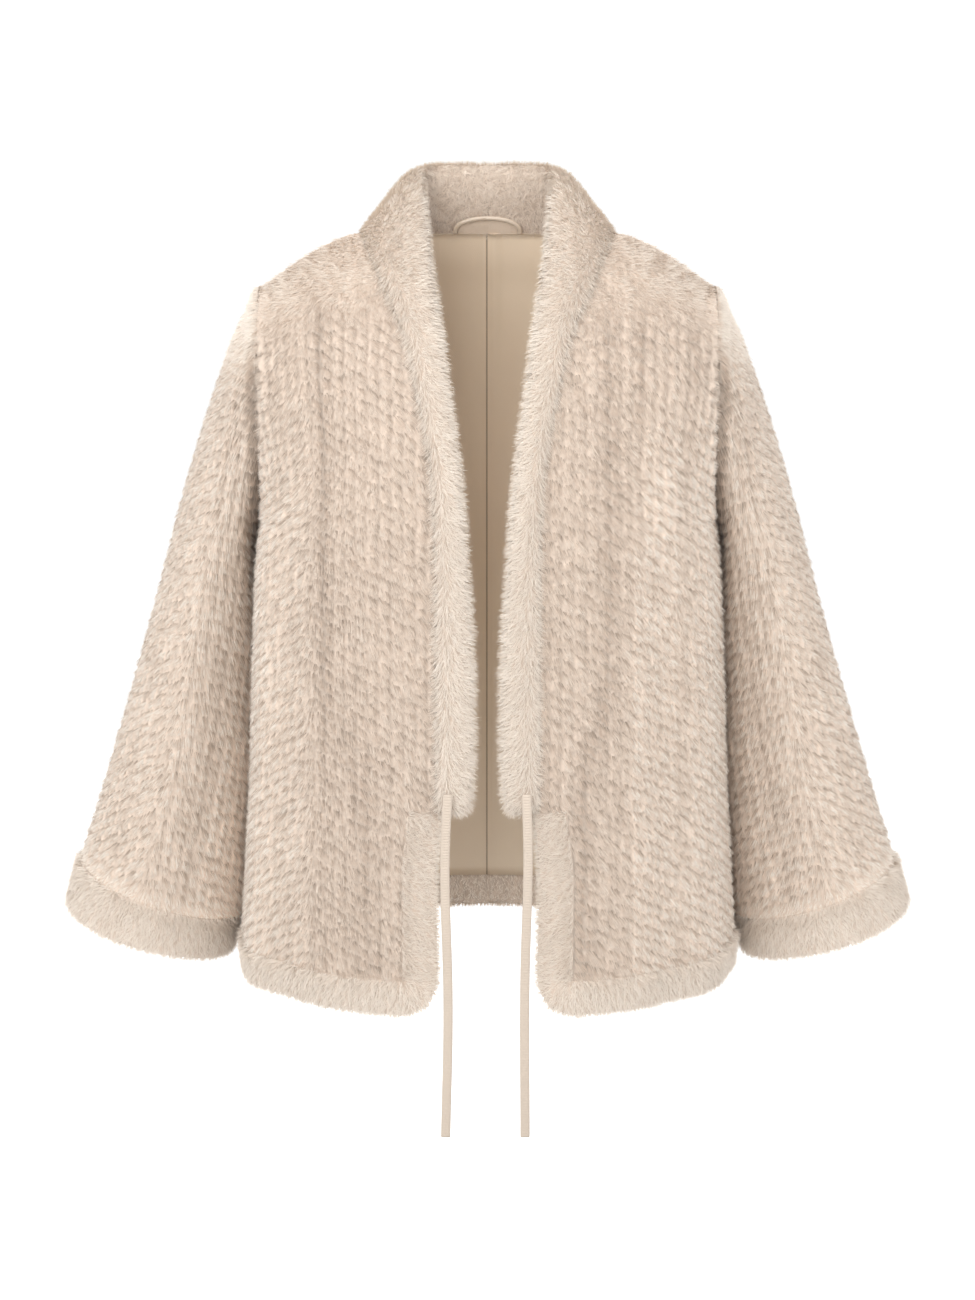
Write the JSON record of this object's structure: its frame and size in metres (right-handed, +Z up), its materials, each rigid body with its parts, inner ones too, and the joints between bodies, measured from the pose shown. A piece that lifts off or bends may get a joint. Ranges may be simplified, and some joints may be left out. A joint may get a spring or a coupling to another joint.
{
  "type": "fur coat",
  "caption": "Short open knitted-fur jacket with a plush shawl band, plush borders, wide hollow sleeves, a hanger loop and tie cords.",
  "frame": {"origin": "middle of the back neck seam, where the wearer's neck and shoulders carry the jacket", "axes": "-Y towards the front opening, +Z up, +X to the viewer's right when the front is seen"},
  "size_m": [0.7616, 0.32, 0.8102],
  "materials": {
    "knit_fur": "knitted cream-beige fur",
    "plush_fur": "dense short cream-beige fur",
    "lining_satin": "beige satin",
    "satin_cord": "glossy satin cord",
    "woven_tie": "flat ribbed woven cord"
  },
  "bodies": {
    "root": {"back": "knit_fur", "back_hem_border": "plush_fur", "cuff_border_left": "plush_fur", "cuff_border_right": "plush_fur", "front_border_left": "plush_fur", "front_border_right": "plush_fur", "front_left": "knit_fur", "front_right": "knit_fur", "hanger_loop": "satin_cord", "lining_back": "lining_satin", "neck_patch": "lining_satin", "shawl_band_left": "plush_fur", "shawl_band_right": "plush_fur", "sleeve_left": "knit_fur", "sleeve_right": "knit_fur", "tie_left": "woven_tie", "tie_right": "woven_tie"}
  },
  "joints": []
}
